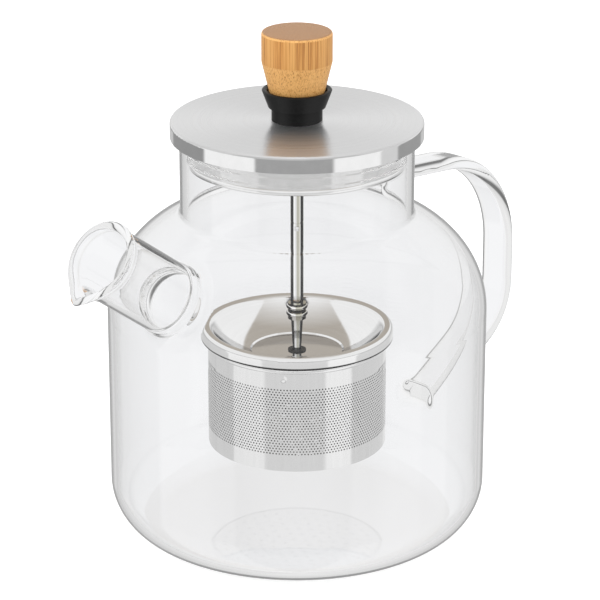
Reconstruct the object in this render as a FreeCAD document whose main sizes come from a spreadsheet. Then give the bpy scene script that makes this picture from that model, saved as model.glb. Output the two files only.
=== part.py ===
import FreeCAD, Part
import Sketcher
import os
import re

# A glass teapot with a plunger infuser, in millimetres.
# +Z is up, the origin is the centre of the resting face, the spout points to -X and the handle to +X.

SIZES = {
    # glass pot
    "pot_radius": 75.0,
    "pot_wall": 2.6,
    "base_corner": 20.8,
    "shoulder_start": 91.7,
    "shoulder_low_radius": 39.4,
    "shoulder_low_angle": 34.8,
    "shoulder_high_radius": 45.8,
    "neck_radius": 45.8,
    "neck_blend": 2.5,
    "rim_height": 165.6,
    "rim_round": 1.1,
    # glass spout: a straight tube that widens at its mouth
    "spout_heading": 180.0,
    "spout_radius": 14.0,
    "spout_wall": 2.0,
    "spout_angle": 36.0,
    "spout_reach": 105.3,
    "mouth_height": 139.2,
    "spout_length": 70.0,
    "mouth_radius": 14.6,
    "mouth_round": 1.25,
    "flare_length": 8.0,
    # glass handle: a flat ribbon on a path of lines and arcs
    "handle_width": 14.5,
    "handle_thick": 5.5,
    "handle_side_round": 3.0,
    "handle_slope": 5.0,
    "handle_root": 40.0,
    "handle_top_radius": 44.55,
    "handle_top_centre": 79.5,
    "handle_bend_height": 88.0,
    "handle_low_radius": 27.25,
    "handle_low_height": 72.2,
    "handle_low_angle": 64.5,
    "handle_foot": 70.0,
    # steel lid
    "lid_radius": 49.4,
    "lid_top": 169.1,
    "lid_drop": 6.4,
    "lid_sheet": 0.8,
    "lid_edge": 1.2,
    "seat_hole": 6.05,
    "plug_radius": 40.8,
    "plug_sheet": 0.6,
    "plug_foot": 151.6,
    "plug_bead_radius": 42.0,
    "plug_bead_height": 2.4,
    "plug_flange": 1.6,
    "plug_hole": 5.0,
    # silicone seal between plug and glass
    "seal_body": 42.0,
    "seal_lip": 43.1,
    "seal_lip_height": 0.9,
    "seal_lip_gap": 3.3,
    "seal_flange": 47.6,
    "seal_flange_thick": 2.0,
    "seal_gap": 0.05,
    # black silicone seat of the knob
    "seat_radius": 9.9,
    "seat_waist": 174.4,
    "seat_top": 180.9,
    "seat_top_radius": 13.6,
    "seat_cup_radius": 11.2,
    "seat_floor": 179.9,
    "seat_floor_radius": 11.1,
    "seat_mouth_radius": 11.5,
    "seat_stem": 6.0,
    "seat_stem_foot": 164.0,
    "seat_snap": 7.5,
    "seat_snap_foot": 166.0,
    "seat_lip_round": 1.3,
    "seat_bore": 3.4,
    "seat_wiper": 1.5,
    # bush in the plug floor
    "bush_bore": 3.4,
    "bush_collar": 6.6,
    "bush_lip": 1.0,
    # knob
    "knob_radius": 13.75,
    "knob_top": 204.3,
    "knob_taper_top": 192.5,
    "knob_foot": 180.0,
    "knob_foot_radius": 10.7,
    "knob_edge": 0.7,
    "insert_radius": 4.0,
    "insert_top": 191.5,
    "stud_top": 190.0,
    "stud_foot": 172.0,
    # rod
    "rod_radius": 2.55,
    "rod_bore": 1.95,
    "rod_top": 182.0,
    "rod_foot": 88.0,
    "rod_running_gap": 0.08,
    "window_height": 125.3,
    "window_size": 1.7,
    "groove_height": 127.6,
    "groove_wide": 0.6,
    "groove_deep": 0.2,
    "catch_angle": 222.0,
    # catch
    "nub_size": 1.5,
    "nub_back": 1.3,
    "nub_front": 3.15,
    "nub_slope": 0.6,
    "spring_thick": 0.2,
    "spring_wide": 1.2,
    "spring_long": 14.0,
    "spring_lift": 2.8,
    # ferrule and tip
    "ferrule_foot": 87.0,
    "ferrule_top": 93.6,
    "ferrule_radius": 3.6,
    "ferrule_rib": 4.25,
    "ferrule_rib_wide": 1.5,
    "ferrule_rib_low": 89.2,
    "ferrule_rib_high": 92.1,
    "tip_top_radius": 2.4,
    "tip_radius": 1.7,
    "tip_taper_foot": 74.0,
    "tip_shoulder": 71.0,
    "tip_spigot_top": 96.0,
    "tip_screw": 1.2,
    "tip_running_gap": 0.06,
    "button_radius": 3.0,
    "button_top": 70.8,
    "button_foot": 68.6,
    "button_edge": 0.5,
    # infuser cover
    "cover_edge_radius": 38.2,
    "cover_edge_foot": 79.5,
    "cover_crest": 84.5,
    "cover_crest_round": 2.0,
    "cover_lead_round": 3.5,
    "cover_lead_angle": 48.0,
    "cover_dish_radius": 34.1,
    "cover_recess": 18.1,
    "cover_recess_lip": 18.7,
    "cover_recess_height": 73.1,
    "cover_step": 0.6,
    "cover_sheet": 0.8,
    "cover_hole": 3.0,
    "grommet_radius": 3.6,
    "grommet_collar": 4.2,
    "grommet_rise": 0.5,
    "grommet_drop": 1.0,
    # inner skirt of the cover
    "skirt_radius": 34.9,
    "skirt_sheet": 0.5,
    "skirt_foot": 71.2,
    "skirt_slot_wide": 2.9,
    "skirt_slot_top": 76.5,
    # basket
    "basket_radius": 35.5,
    "basket_sheet": 0.4,
    "basket_foot": 36.2,
    "basket_top": 79.3,
    "basket_rim_radius": 36.8,
    "basket_rim_foot": 76.9,
    "pan_rise": 5.0,
    "pan_lift": 0.4,
    "pan_corner": 2.0,
    "dimple_height": 74.9,
    "dimple_radius": 1.15,
    "dimple_lap": 0.1,
    "dimple_deep": 0.8,
    "dimple_angle": 215.0,
    "pan_hole": 1.6,
    "pan_ring_step": 5.0,
}
DIMPLES = 3
SEAL_LIPS = 3
PAN_RINGS = 6
HOLES_PER_RING = 6
# how far a first-guess arc bulges, as a share of its chord
ARC_BULGE = 0.2
# how close a height must be to count as the same
SAME_HEIGHT = 0.01

document = FreeCAD.newDocument("Teapot")
sheet = document.addObject("Spreadsheet::Sheet", "Sizes")
PARTS = {}


def write_sizes():
    """Put each driving size in its own named cell."""
    for row, (name, value) in enumerate(SIZES.items(), start=1):
        sheet.set(f"A{row}", name)
        sheet.set(f"B{row}", str(value))
        sheet.setAlias(f"B{row}", name)
    document.recompute()


def sized(formula):
    """Turn a formula of size names into an expression that reads the sheet."""
    return re.sub(r"\b(" + "|".join(SIZES) + r")\b", r"Sizes.\1", str(formula))


def new_body(node, heading=None):
    """Start a sub-part; heading names the size that turns it about Z."""
    body = document.addObject("PartDesign::Body", node)
    body.Label = node
    if heading:
        about_z = FreeCAD.Rotation(FreeCAD.Vector(0, 0, 1), 1)
        body.Placement = FreeCAD.Placement(FreeCAD.Vector(), about_z)
        body.setExpression("Placement.Rotation.Angle", sized(heading))
    PARTS[node] = body
    return body


def origin_item(body, role):
    return next(item for item in body.Origin.OriginFeatures if item.Role == role)


def new_sketch(body, name, role="XZ_Plane", away="0", up="0", turn=0):
    """Start a sketch on an origin plane, moved off and along it by formulas and turned about its up."""
    sketch = body.newObject("Sketcher::SketchObject", name)
    sketch.AttachmentSupport = [(origin_item(body, role), "")]
    sketch.MapMode = "FlatFace"
    about_up = FreeCAD.Rotation(FreeCAD.Vector(0, 1, 0), turn)
    sketch.AttachmentOffset = FreeCAD.Placement(FreeCAD.Vector(), about_up)
    sketch.setExpression("AttachmentOffset.Base.z", sized(away))
    sketch.setExpression("AttachmentOffset.Base.y", sized(up))
    return sketch


def hold(sketch, kind, geometry, formula):
    """Hold a radius, or one coordinate of a point, to a formula."""
    if kind == "Radius":
        number = sketch.addConstraint(Sketcher.Constraint(kind, geometry, 1.0))
    else:
        number = sketch.addConstraint(Sketcher.Constraint(kind, -1, 1, geometry, 1, 1.0))
    sketch.setExpression(f"Constraints[{number}]", sized(formula))


def held_point(sketch, across, up):
    """A construction point held to a place given as two formulas."""
    number = sketch.GeometryCount
    sketch.addGeometry(Part.Point(FreeCAD.Vector(number + 1, number + 2, 0)), True)
    hold(sketch, "DistanceX", number, across)
    hold(sketch, "DistanceY", number, up)
    return number


def arc_guess(start, end, side):
    """A shallow arc from start to end; side is 1 when it bulges to the left of the way there."""
    chord = end - start
    left = FreeCAD.Vector(-chord.y, chord.x, 0)
    return Part.Arc(start, (start + end) * 0.5 + left * (side * ARC_BULGE), end)


def draw(sketch, corners, arcs=None, closed=True):
    """Draw an outline through corners; arcs maps a corner number to (radius, side)."""
    arcs = arcs or {}
    for corner in corners:
        held_point(sketch, *corner)
    document.recompute()
    spots = [sketch.getPoint(number, 1) for number in range(len(corners))]
    for number in range(len(corners) if closed else len(corners) - 1):
        follower = (number + 1) % len(corners)
        start, end = spots[number], spots[follower]
        ends = (1, 2)
        if number in arcs:
            radius, side = arcs[number]
            edge = sketch.addGeometry(arc_guess(start, end, side))
            # a sketch arc runs anticlockwise, so one that bulges to the left starts at its far end
            ends = (1, 2) if side < 0 else (2, 1)
        else:
            edge = sketch.addGeometry(Part.LineSegment(start, end))
        sketch.addConstraint(Sketcher.Constraint("Coincident", edge, ends[0], number, 1))
        sketch.addConstraint(Sketcher.Constraint("Coincident", edge, ends[1], follower, 1))
        if number in arcs:
            hold(sketch, "Radius", edge, radius)
    return sketch


def revolve(body, sketch, name, kind="Revolution", axis="V_Axis"):
    feature = body.newObject(f"PartDesign::{kind}", name)
    feature.Profile = sketch
    feature.ReferenceAxis = (sketch, [axis])
    feature.Angle = 360
    sketch.Visibility = False
    document.recompute()
    return feature


def turned(node, corners, arcs=None, heading=None):
    """A sub-part turned about Z from one outline."""
    body = new_body(node, heading)
    revolve(body, draw(new_sketch(body, f"{node}_outline"), corners, arcs), f"{node}_turned")
    return body


def cut_outward(body, sketch, name, depth):
    """Pocket a sketch towards the side its plane faces."""
    pocket = body.newObject("PartDesign::Pocket", name)
    pocket.Profile = sketch
    pocket.Reversed = True
    pocket.setExpression("Length", sized(depth))
    document.recompute()
    return pocket


def around(body, features, name, count):
    """Repeat features evenly about Z."""
    pattern = body.newObject("PartDesign::PolarPattern", name)
    pattern.Originals = features
    pattern.Axis = (origin_item(body, "Z_Axis"), [""])
    pattern.Angle = 360
    pattern.Occurrences = count
    body.Tip = pattern
    document.recompute()
    return pattern


def rounded(body, name, radius, wanted):
    """Fillet the edges of the body that pass the test."""
    base = body.Tip
    numbered = enumerate(base.Shape.Edges, start=1)
    edges = [f"Edge{number}" for number, edge in numbered if wanted(edge)]
    fillet = body.newObject("PartDesign::Fillet", name)
    fillet.Base = (base, edges)
    fillet.setExpression("Radius", sized(radius))
    document.recompute()
    return fillet


def ring_at(height):
    """A test for whole circles about Z at the height of a named size."""
    level = SIZES[height]

    def wanted(edge):
        ends = (edge.BoundBox.ZMin, edge.BoundBox.ZMax)
        return edge.Closed and all(abs(end - level) < SAME_HEIGHT for end in ends)

    return wanted


# ---------------------------------------------------------------- glass


def pot_outline(inset):
    """Half of the pot's outside, or of its inside when inset is the wall; filled to the axis."""
    low, high, angle = "shoulder_low_radius", "shoulder_high_radius", "shoulder_low_angle"
    dome_r = f"(pot_radius - {low} + ({low} - {high}) * cos({angle}))"
    dome_z = f"(shoulder_start + ({low} - {high}) * sin({angle}))"
    blend_r = "(neck_radius + neck_blend)"
    blend_z = f"({dome_z} + sqrt(({high} + neck_blend)^2 - ({blend_r} - {dome_r})^2))"
    share = f"({high} - {inset}) / ({high} + neck_blend)"
    turn_r = f"pot_radius - {low} + ({low} - {inset}) * cos({angle})"
    turn_z = f"shoulder_start + ({low} - {inset}) * sin({angle})"
    meet_r = f"{dome_r} + ({blend_r} - {dome_r}) * {share}"
    meet_z = f"{dome_z} + ({blend_z} - {dome_z}) * {share}"
    corners = [
        ("0", inset),
        ("pot_radius - base_corner", inset),
        (f"pot_radius - {inset}", "base_corner"),
        (f"pot_radius - {inset}", "shoulder_start"),
        (turn_r, turn_z),
        (meet_r, meet_z),
        (f"neck_radius - {inset}", blend_z),
        (f"neck_radius - {inset}", "rim_height"),
        ("0", "rim_height"),
    ]
    arcs = {
        1: (f"base_corner - {inset}", -1),
        3: (f"{low} - {inset}", -1),
        4: (f"{high} - {inset}", -1),
        5: (f"neck_blend + {inset}", 1),
    }
    return corners, arcs


def from_mouth(back, out):
    """A point so far back along the spout's axis from its mouth, and so far out on its upper side."""
    return (
        f"spout_reach - ({back}) * cos(spout_angle) - ({out}) * sin(spout_angle)",
        f"mouth_height - ({back}) * sin(spout_angle) + ({out}) * cos(spout_angle)",
    )


def about_spout(body, sketch, name, kind):
    """Revolve a sketch about a construction line laid along the spout's axis."""
    ends = [held_point(sketch, *from_mouth(back, "0")) for back in ("0", "spout_length")]
    document.recompute()
    line = sketch.addGeometry(Part.LineSegment(*[sketch.getPoint(end, 1) for end in ends]), True)
    for line_end, point in zip((1, 2), ends):
        sketch.addConstraint(Sketcher.Constraint("Coincident", line, line_end, point, 1))
    return revolve(body, sketch, name, kind, "Axis0")


def make_glass_pot():
    body = new_body("glass_pot", "spout_heading")
    revolve(body, draw(new_sketch(body, "pot_outside"), *pot_outline("0")), "pot_solid")
    revolve(body, draw(new_sketch(body, "pot_inside"), *pot_outline("pot_wall")), "pot_hollow", "Groove")
    bore = "spout_radius - spout_wall"
    corners = [
        from_mouth("0", "0"),
        from_mouth("spout_length", "0"),
        from_mouth("spout_length", bore),
        from_mouth("0", bore),
    ]
    bore_outline = draw(new_sketch(body, "spout_bore_outline"), corners)
    about_spout(body, bore_outline, "spout_bore", "Groove")
    rounded(body, "pot_rim_round", "rim_round", ring_at("rim_height"))


def trim_by_pot(body, name):
    """Cut away whatever lies inside the pot's outer surface, so the sub-part ends flush on it."""
    revolve(body, draw(new_sketch(body, f"{name}_outline"), *pot_outline("0")), name, "Groove")


def make_glass_spout():
    body = new_body("glass_spout", "spout_heading")
    rise = "(mouth_radius - spout_radius)"
    flare = f"(flare_length^2 + {rise}^2) / (2 * {rise})"
    inner, inner_mouth = "spout_radius - spout_wall", "mouth_radius - spout_wall"
    corners = [
        from_mouth("0", inner_mouth),
        from_mouth("flare_length", inner),
        from_mouth("spout_length", inner),
        from_mouth("spout_length", "spout_radius"),
        from_mouth("flare_length", "spout_radius"),
        from_mouth("0", "mouth_radius"),
    ]
    arcs = {0: (flare, 1), 4: (flare, -1), 5: ("mouth_round", -1)}
    outline = draw(new_sketch(body, "spout_outline"), corners, arcs)
    about_spout(body, outline, "spout_tube", "Revolution")
    trim_by_pot(body, "spout_trim")


def make_glass_handle():
    body = new_body("glass_handle")
    far = "handle_top_centre + handle_top_radius"
    top = ("handle_top_centre + handle_top_radius * sin(handle_slope)",
           "handle_bend_height + handle_top_radius * cos(handle_slope)")
    low = (f"{far} - handle_low_radius * (1 - cos(handle_low_angle))",
           "handle_low_height - handle_low_radius * sin(handle_low_angle)")
    root_height = f"({top[1]} + ({top[0]} - handle_root) * tan(handle_slope))"
    path = draw(
        new_sketch(body, "handle_path"),
        [
            ("handle_root", root_height),
            top,
            (far, "handle_bend_height"),
            (far, "handle_low_height"),
            low,
            ("handle_foot", f"{low[1]} - ({low[0]} - handle_foot) / tan(handle_low_angle)"),
        ],
        {1: ("handle_top_radius", 1), 3: ("handle_low_radius", 1)},
        closed=False,
    )
    half = "handle_thick / 2"
    flat = "(handle_width / 2 - handle_side_round + sqrt(handle_side_round^2 - (handle_thick / 2)^2))"
    section = draw(
        new_sketch(body, "handle_section", "YZ_Plane", away="handle_root"),
        [
            (f"-{flat}", f"{root_height} - {half}"),
            (flat, f"{root_height} - {half}"),
            (flat, f"{root_height} + {half}"),
            (f"-{flat}", f"{root_height} + {half}"),
        ],
        {1: ("handle_side_round", -1), 3: ("handle_side_round", -1)},
    )
    ribbon = body.newObject("PartDesign::AdditivePipe", "handle_ribbon")
    ribbon.Profile = section
    ribbon.Spine = (path, [])
    document.recompute()
    trim_by_pot(body, "handle_trim")


# ---------------------------------------------------------------- lid


def make_lid_cap():
    under, foot = "lid_top - lid_sheet", "lid_top - lid_drop"
    turned(
        "lid_cap",
        [
            ("seat_hole", under),
            ("lid_radius - lid_edge", under),
            ("lid_radius - lid_sheet", "lid_top - lid_edge"),
            ("lid_radius - lid_sheet", foot),
            ("lid_radius", foot),
            ("lid_radius", "lid_top - lid_edge"),
            ("lid_radius - lid_edge", "lid_top"),
            ("seat_hole", "lid_top"),
        ],
        {1: ("lid_edge - lid_sheet", 1), 5: ("lid_edge", -1)},
    )


def make_lid_plug():
    bead = "plug_bead_radius - plug_radius"
    top = "lid_top - lid_sheet"
    turned(
        "lid_plug",
        [
            ("plug_hole", "plug_foot"),
            ("plug_radius", "plug_foot"),
            ("plug_bead_radius", f"plug_foot + {bead}"),
            ("plug_radius", f"plug_foot + 2 * ({bead})"),
            ("plug_radius", f"{top} - plug_sheet"),
            ("plug_radius + plug_flange", f"{top} - plug_sheet"),
            ("plug_radius + plug_flange", top),
            ("plug_radius - plug_sheet", top),
            ("plug_radius - plug_sheet", "plug_foot + plug_sheet"),
            ("plug_hole", "plug_foot + plug_sheet"),
        ],
        {1: (bead, -1), 2: (bead, -1)},
    )


def make_lid_seal():
    """A sleeve round the plug: wiping lips inside the neck and a flange on the glass rim."""
    foot = "plug_foot + plug_bead_height"
    flange = "rim_height + seal_gap"
    corners = [("plug_radius", foot), ("seal_body", foot)]
    for lip in range(SEAL_LIPS):
        start = f"{foot} + seal_lip_gap * {lip} + seal_lip_height"
        corners += [
            ("seal_body", start),
            ("seal_lip", f"{start} + seal_lip_height / 2"),
            ("seal_body", f"{start} + seal_lip_height"),
        ]
    corners += [
        ("seal_body", flange),
        ("seal_flange", flange),
        ("seal_flange", f"{flange} + seal_flange_thick"),
        ("plug_radius", f"{flange} + seal_flange_thick"),
    ]
    turned("lid_seal", corners)


def make_knob_seat():
    """A soft cup on the cap, held by a snap ring below it, with a lip that wipes the rod."""
    wiper, under = "rod_radius + rod_running_gap", "lid_top - lid_sheet"
    turned(
        "knob_seat",
        [
            ("seat_bore", "seat_stem_foot"),
            ("seat_stem", "seat_stem_foot"),
            ("seat_snap", "seat_snap_foot"),
            ("seat_snap", under),
            ("seat_stem", under),
            ("seat_stem", "lid_top"),
            ("seat_radius", "lid_top"),
            ("seat_radius", "seat_waist"),
            ("seat_cup_radius", "seat_waist"),
            ("seat_top_radius", "seat_top"),
            ("seat_mouth_radius", "seat_top"),
            ("seat_floor_radius", "seat_floor"),
            (wiper, "seat_floor"),
            (wiper, "seat_floor - seat_wiper"),
            ("seat_bore", "seat_floor - seat_wiper"),
        ],
        {9: ("seat_lip_round", -1)},
    )


def make_plug_bush():
    """A bush snapped into the plug floor, wide enough inside to let the catch through."""
    floor_top = "plug_foot + plug_sheet"
    turned(
        "plug_bush",
        [
            ("bush_bore", "plug_foot - bush_lip"),
            ("bush_collar", "plug_foot - bush_lip"),
            ("bush_collar", "plug_foot"),
            ("plug_hole", "plug_foot"),
            ("plug_hole", floor_top),
            ("bush_collar", floor_top),
            ("bush_collar", f"{floor_top} + bush_lip"),
            ("bush_bore", f"{floor_top} + bush_lip"),
        ],
    )


# ---------------------------------------------------------------- knob and rod


def make_knob():
    body = turned(
        "knob",
        [
            ("insert_radius", "knob_foot"),
            ("knob_foot_radius", "knob_foot"),
            ("knob_radius", "knob_taper_top"),
            ("knob_radius", "knob_top"),
            ("0", "knob_top"),
            ("0", "insert_top"),
            ("insert_radius", "insert_top"),
        ],
    )
    rounded(body, "knob_edge_round", "knob_edge", ring_at("knob_top"))


def make_knob_insert():
    turned(
        "knob_insert",
        [
            ("rod_radius", "knob_foot"),
            ("insert_radius", "knob_foot"),
            ("insert_radius", "insert_top"),
            ("rod_bore", "insert_top"),
            ("rod_bore", "rod_top"),
            ("rod_radius", "rod_top"),
        ],
    )


def make_rod_stud():
    turned(
        "rod_stud",
        [("0", "stud_foot"), ("rod_bore", "stud_foot"), ("rod_bore", "stud_top"), ("0", "stud_top")],
    )


def make_rod():
    """A tube with a shallow groove and, below it, the window of the catch."""
    groove_low, groove_high = "groove_height - groove_wide / 2", "groove_height + groove_wide / 2"
    body = turned(
        "rod",
        [
            ("rod_bore", "rod_foot"),
            ("rod_radius", "rod_foot"),
            ("rod_radius", groove_low),
            ("rod_radius - groove_deep", groove_low),
            ("rod_radius - groove_deep", groove_high),
            ("rod_radius", groove_high),
            ("rod_radius", "rod_top"),
            ("rod_bore", "rod_top"),
        ],
        heading="catch_angle",
    )
    half = "window_size / 2"
    window = draw(
        new_sketch(body, "window_outline", "YZ_Plane"),
        [
            (f"-{half}", f"window_height - {half}"),
            (half, f"window_height - {half}"),
            (half, f"window_height + {half}"),
            (f"-{half}", f"window_height + {half}"),
        ],
    )
    cut_outward(body, window, "window", "rod_radius * 2")


def pad_both_ways(body, sketch, name, width):
    pad = body.newObject("PartDesign::Pad", name)
    pad.Profile = sketch
    pad.Midplane = True
    pad.setExpression("Length", sized(width))
    document.recompute()


def make_catch_nub():
    """The nub's upper corner is sloped, so the seat's lip presses it in on the way up."""
    body = new_body("catch_nub", "catch_angle")
    foot, top = "window_height - nub_size / 2", "window_height + nub_size / 2"
    outline = draw(
        new_sketch(body, "nub_outline"),
        [
            ("nub_back", foot),
            ("nub_front", foot),
            ("nub_front", f"{top} - nub_slope"),
            ("nub_front - nub_slope", top),
            ("nub_back", top),
        ],
    )
    pad_both_ways(body, outline, "nub_block", "nub_size")


def make_catch_spring():
    """An arched leaf inside the rod, its crown behind the nub."""
    body = new_body("catch_spring", "catch_angle")
    bend = "(((spring_long / 2)^2 + spring_lift^2) / (2 * spring_lift))"
    back = "(nub_back - spring_lift)"
    inner_half = f"sqrt(({bend} - spring_thick)^2 - ({bend} - spring_lift)^2)"
    outline = draw(
        new_sketch(body, "spring_outline"),
        [
            (back, "window_height - spring_long / 2"),
            (back, "window_height + spring_long / 2"),
            (back, f"window_height + {inner_half}"),
            (back, f"window_height - {inner_half}"),
        ],
        {0: (bend, -1), 2: (f"{bend} - spring_thick", 1)},
    )
    pad_both_ways(body, outline, "spring_leaf", "spring_wide")


def make_ferrule():
    """A sleeve over the rod's foot with two half-round ribs."""
    half, proud = "ferrule_rib_wide / 2", "(ferrule_rib - ferrule_radius)"
    bend = f"(({half})^2 + {proud}^2) / (2 * {proud})"
    turned(
        "ferrule",
        [
            ("tip_top_radius", "ferrule_foot"),
            ("ferrule_radius", "ferrule_foot"),
            ("ferrule_radius", f"ferrule_rib_low - {half}"),
            ("ferrule_radius", f"ferrule_rib_low + {half}"),
            ("ferrule_radius", f"ferrule_rib_high - {half}"),
            ("ferrule_radius", f"ferrule_rib_high + {half}"),
            ("ferrule_radius", "ferrule_top"),
            ("rod_radius", "ferrule_top"),
            ("rod_radius", "rod_foot"),
            ("tip_top_radius", "rod_foot"),
        ],
        {2: (bend, -1), 4: (bend, -1)},
    )


def make_rod_tip():
    """A spigot in the rod, a taper below the ferrule and a screw for the button."""
    turned(
        "rod_tip",
        [
            ("0", "button_foot"),
            ("tip_screw", "button_foot"),
            ("tip_screw", "tip_shoulder"),
            ("tip_radius", "tip_shoulder"),
            ("tip_radius", "tip_taper_foot"),
            ("tip_top_radius", "ferrule_foot"),
            ("tip_top_radius", "rod_foot"),
            ("rod_bore", "rod_foot"),
            ("rod_bore", "tip_spigot_top"),
            ("0", "tip_spigot_top"),
        ],
    )


def make_tip_button():
    turned(
        "tip_button",
        [
            ("tip_screw", "button_foot"),
            ("button_radius - button_edge", "button_foot"),
            ("button_radius", "button_foot + button_edge"),
            ("button_radius", "button_top"),
            ("tip_screw", "button_top"),
        ],
        {1: ("button_edge", -1)},
    )


# ---------------------------------------------------------------- infuser


def make_infuser_cover():
    """A dished sheet: flat recess, dish rising to a round crest, and a turned-down edge."""
    crest_r = "cover_edge_radius - cover_crest_round"
    below = "(cover_lead_round - cover_sheet)"
    step_top = "cover_recess_height + cover_step"

    def lead_in(radius):
        """Where the dish meets the arc that leads it up to the crest."""
        return (
            f"{crest_r} - {radius} * sin(cover_lead_angle)",
            f"cover_crest - cover_lead_round + {radius} * cos(cover_lead_angle)",
        )

    turned(
        "infuser_cover",
        [
            ("cover_hole", "cover_recess_height - cover_sheet"),
            ("cover_recess", "cover_recess_height - cover_sheet"),
            ("cover_recess_lip", f"{step_top} - cover_sheet"),
            lead_in(below),
            (crest_r, "cover_crest - cover_sheet"),
            ("cover_edge_radius - cover_sheet", "cover_crest - cover_crest_round"),
            ("cover_edge_radius - cover_sheet", "cover_edge_foot"),
            ("cover_edge_radius", "cover_edge_foot"),
            ("cover_edge_radius", "cover_crest - cover_crest_round"),
            (crest_r, "cover_crest"),
            lead_in("cover_lead_round"),
            ("cover_recess_lip", step_top),
            ("cover_recess", "cover_recess_height"),
            ("cover_hole", "cover_recess_height"),
        ],
        {
            2: ("cover_dish_radius + cover_sheet", -1),
            3: (below, 1),
            4: ("cover_crest_round - cover_sheet", 1),
            8: ("cover_crest_round", -1),
            9: ("cover_lead_round", -1),
            10: ("cover_dish_radius", 1),
        },
    )


def make_cover_grommet():
    bore, under = "tip_radius + tip_running_gap", "cover_recess_height - cover_sheet"
    turned(
        "cover_grommet",
        [
            (bore, f"{under} - grommet_drop"),
            ("grommet_collar", f"{under} - grommet_drop"),
            ("grommet_collar", under),
            ("cover_hole", under),
            ("cover_hole", "cover_recess_height"),
            ("grommet_radius", "cover_recess_height"),
            ("grommet_radius", "cover_recess_height + grommet_rise"),
            (bore, "cover_recess_height + grommet_rise"),
        ],
    )


def under_cover(radius):
    """The height of the cover's underside where the skirt meets it."""
    crest_r = "(cover_edge_radius - cover_crest_round)"
    below = "(cover_lead_round - cover_sheet)"
    return f"cover_crest - cover_lead_round + sqrt({below}^2 - ({crest_r} - ({radius}))^2)"


def make_cover_skirt():
    """A ring inside the basket's mouth with an open slot for each dimple."""
    inner = "skirt_radius - skirt_sheet"
    body = turned(
        "cover_skirt",
        [
            (inner, "skirt_foot"),
            ("skirt_radius", "skirt_foot"),
            ("skirt_radius", under_cover("skirt_radius")),
            (inner, under_cover(inner)),
        ],
        heading="dimple_angle",
    )
    half = "skirt_slot_wide / 2"
    slot = draw(
        new_sketch(body, "slot_outline", "YZ_Plane"),
        [
            (f"-{half}", "skirt_foot - skirt_sheet"),
            (half, "skirt_foot - skirt_sheet"),
            (half, "skirt_slot_top"),
            (f"-{half}", "skirt_slot_top"),
        ],
    )
    first = cut_outward(body, slot, "slot", "skirt_radius * 2")
    around(body, [first], "slots", DIMPLES)


def make_basket_wall():
    """The wall with its inward dimples; each is a hole filled by a small cone of the same sheet."""
    inner = "basket_radius - basket_sheet"
    body = turned(
        "basket_wall",
        [
            (inner, "basket_foot"),
            ("basket_radius", "basket_foot"),
            ("basket_radius", "basket_top"),
            (inner, "basket_top"),
        ],
        heading=f"dimple_angle - {180 / DIMPLES}",
    )
    edge = "dimple_radius + dimple_lap"
    for number in range(DIMPLES):
        # half a pitch round from the sheet's seam, which the body's heading takes back
        turn = 360 / DIMPLES * (number + 0.5)
        hole = draw(
            new_sketch(body, f"dimple_hole_outline_{number}", up="dimple_height", turn=turn),
            [
                (f"{inner} - basket_sheet", "0"),
                ("basket_radius + basket_sheet", "0"),
                ("basket_radius + basket_sheet", "dimple_radius"),
                (f"{inner} - basket_sheet", "dimple_radius"),
            ],
        )
        revolve(body, hole, f"dimple_hole_{number}", "Groove", "H_Axis")
        cone = draw(
            new_sketch(body, f"dimple_outline_{number}", up="dimple_height", turn=turn),
            [
                (f"{inner} - dimple_deep", "0"),
                ("basket_radius - dimple_deep", "0"),
                ("basket_radius", edge),
                (inner, edge),
            ],
        )
        revolve(body, cone, f"dimple_{number}", "Revolution", "H_Axis")


def make_basket_rim():
    half = "(basket_top - basket_rim_foot) / 2"
    turned(
        "basket_rim",
        [
            ("basket_radius", "basket_rim_foot"),
            (f"basket_rim_radius - {half}", "basket_rim_foot"),
            ("basket_rim_radius", f"basket_rim_foot + {half}"),
            (f"basket_rim_radius - {half}", "basket_top"),
            ("basket_radius", "basket_top"),
        ],
        {1: (half, -1), 2: (half, -1)},
    )


def make_basket_floor():
    """A shallow pan inside the foot of the wall, drilled in rings."""
    outer, inner = "basket_radius - basket_sheet", "basket_radius - 2 * basket_sheet"
    level = "basket_foot + pan_lift"
    body = turned(
        "basket_floor",
        [
            ("0", level),
            (f"{outer} - pan_corner", level),
            (outer, f"{level} + pan_corner"),
            (outer, f"{level} + pan_rise"),
            (inner, f"{level} + pan_rise"),
            (inner, f"{level} + pan_corner"),
            (f"{outer} - pan_corner", f"{level} + basket_sheet"),
            ("0", f"{level} + basket_sheet"),
        ],
        {1: ("pan_corner", -1), 5: ("pan_corner - basket_sheet", 1)},
    )
    for ring in range(1, PAN_RINGS + 1):
        sketch = new_sketch(body, f"pan_hole_outline_{ring}", "XY_Plane", away=level)
        circle = sketch.addGeometry(Part.Circle(FreeCAD.Vector(1, 0, 0), FreeCAD.Vector(0, 0, 1), 1))
        centre = sketch.addConstraint(Sketcher.Constraint("DistanceX", -1, 1, circle, 3, 1.0))
        sketch.setExpression(f"Constraints[{centre}]", sized(f"pan_ring_step * {ring}"))
        sketch.addConstraint(Sketcher.Constraint("PointOnObject", circle, 3, -1))
        hold(sketch, "Radius", circle, "pan_hole / 2")
        hole = cut_outward(body, sketch, f"pan_hole_{ring}", "pan_corner")
        around(body, [hole], f"pan_holes_{ring}", HOLES_PER_RING * ring)


# ---------------------------------------------------------------- build and export


def check_all():
    """Stop if any object failed or any sub-part is not one valid solid."""
    for item in document.Objects:
        if {"Invalid", "Error"} & set(item.State):
            raise RuntimeError(f"{item.Name} failed: {item.State}")
    for node, body in PARTS.items():
        if body.Shape.isNull() or not body.Shape.isValid() or len(body.Shape.Solids) != 1:
            raise RuntimeError(f"{node} is not one valid solid")


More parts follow.
